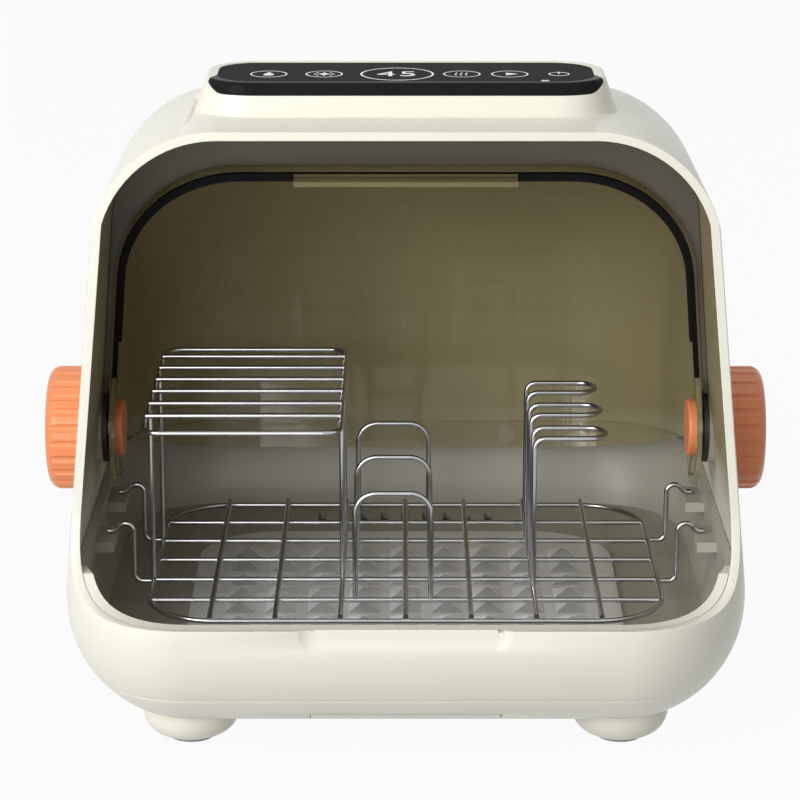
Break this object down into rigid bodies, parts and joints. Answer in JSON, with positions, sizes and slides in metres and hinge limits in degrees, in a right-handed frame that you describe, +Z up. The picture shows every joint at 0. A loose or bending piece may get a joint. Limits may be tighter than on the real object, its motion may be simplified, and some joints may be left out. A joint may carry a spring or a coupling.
{
  "type": "baby bottle sterilizer",
  "caption": "Rounded countertop steriliser and dryer for feeding bottles, with a tinted swing-up visor on side knobs, a touch panel on top and lift-out wire racks.",
  "frame": {"origin": "on the table under the middle of the housing", "axes": "+Z up, the open front faces -Y, +X to the right seen from the front"},
  "size_m": [0.3468, 0.2899, 0.311],
  "materials": {
    "cream_shell": "satin moulded",
    "rubber_pad": "matt",
    "liner_grey": "satin moulded",
    "reflector": "embossed bright",
    "visor_tint": "polished tinted",
    "gasket_black": "matt",
    "orange_knob": "satin",
    "steel_pin": "turned",
    "bush_black": "moulded",
    "panel_black": "gloss",
    "circuit_board": "lacquered",
    "wire_chrome": "polished wire",
    "lamp_window": "polished",
    "heater_alloy": "extruded",
    "filter_pad": "fibre"
  },
  "bodies": {
    "base": {"base_pan": "cream_shell", "blower_case": "bush_black", "board_posts": "steel_pin", "ceiling_liner": "liner_grey", "chamber_liner": "liner_grey", "control_panel": "panel_black", "foot_front_left": "cream_shell", "foot_front_right": "cream_shell", "foot_pads": "rubber_pad", "foot_rear_left": "cream_shell", "foot_rear_right": "cream_shell", "heater_block": "heater_alloy", "housing": "cream_shell", "main_board": "circuit_board", "pivot_bush_left": "bush_black", "pivot_bush_right": "bush_black", "power_inlet": "panel_black", "reflector_plate": "reflector", "touch_board": "circuit_board", "uv_lamps": "lamp_window"},
    "visor": {"inner_cap_left": "orange_knob", "inner_cap_right": "orange_knob", "knob_left": "orange_knob", "knob_right": "orange_knob", "pivot_shaft_left": "steel_pin", "pivot_shaft_right": "steel_pin", "visor": "visor_tint", "visor_gasket": "gasket_black"},
    "rack": {"bottle_arches": "wire_chrome", "bottle_hoops": "wire_chrome", "rack_grid": "wire_chrome", "rack_handle_left": "wire_chrome", "rack_handle_right": "wire_chrome"},
    "shelf": {"shelf_grid": "wire_chrome", "shelf_legs": "wire_chrome"},
    "drawer": {"air_filter": "filter_pad", "filter_drawer": "cream_shell"},
    "rotor": {"blower_rotor": "bush_black"}
  },
  "joints": [
    {"name": "visor_hinge", "type": "hinge", "parent": "base", "child": "visor", "pos_m": [0, -0.004, 0.132], "axis": [1, 0, 0], "range_deg": [0, 99]},
    {"name": "rack_lift", "type": "slide", "parent": "base", "child": "rack", "axis": [0, 0, 1], "range_m": [0, 0.016]},
    {"name": "shelf_lift", "type": "slide", "parent": "rack", "child": "shelf", "axis": [0, 0, 1], "range_m": [0, 0.03]},
    {"name": "filter_slide", "type": "slide", "parent": "base", "child": "drawer", "axis": [0, -1, 0], "range_m": [0, 0.06]},
    {"name": "rotor_spin", "type": "hinge", "parent": "base", "child": "rotor", "pos_m": [-0.03, 0.014, 0.018], "axis": [0, 0, 1], "continuous": true}
  ]
}
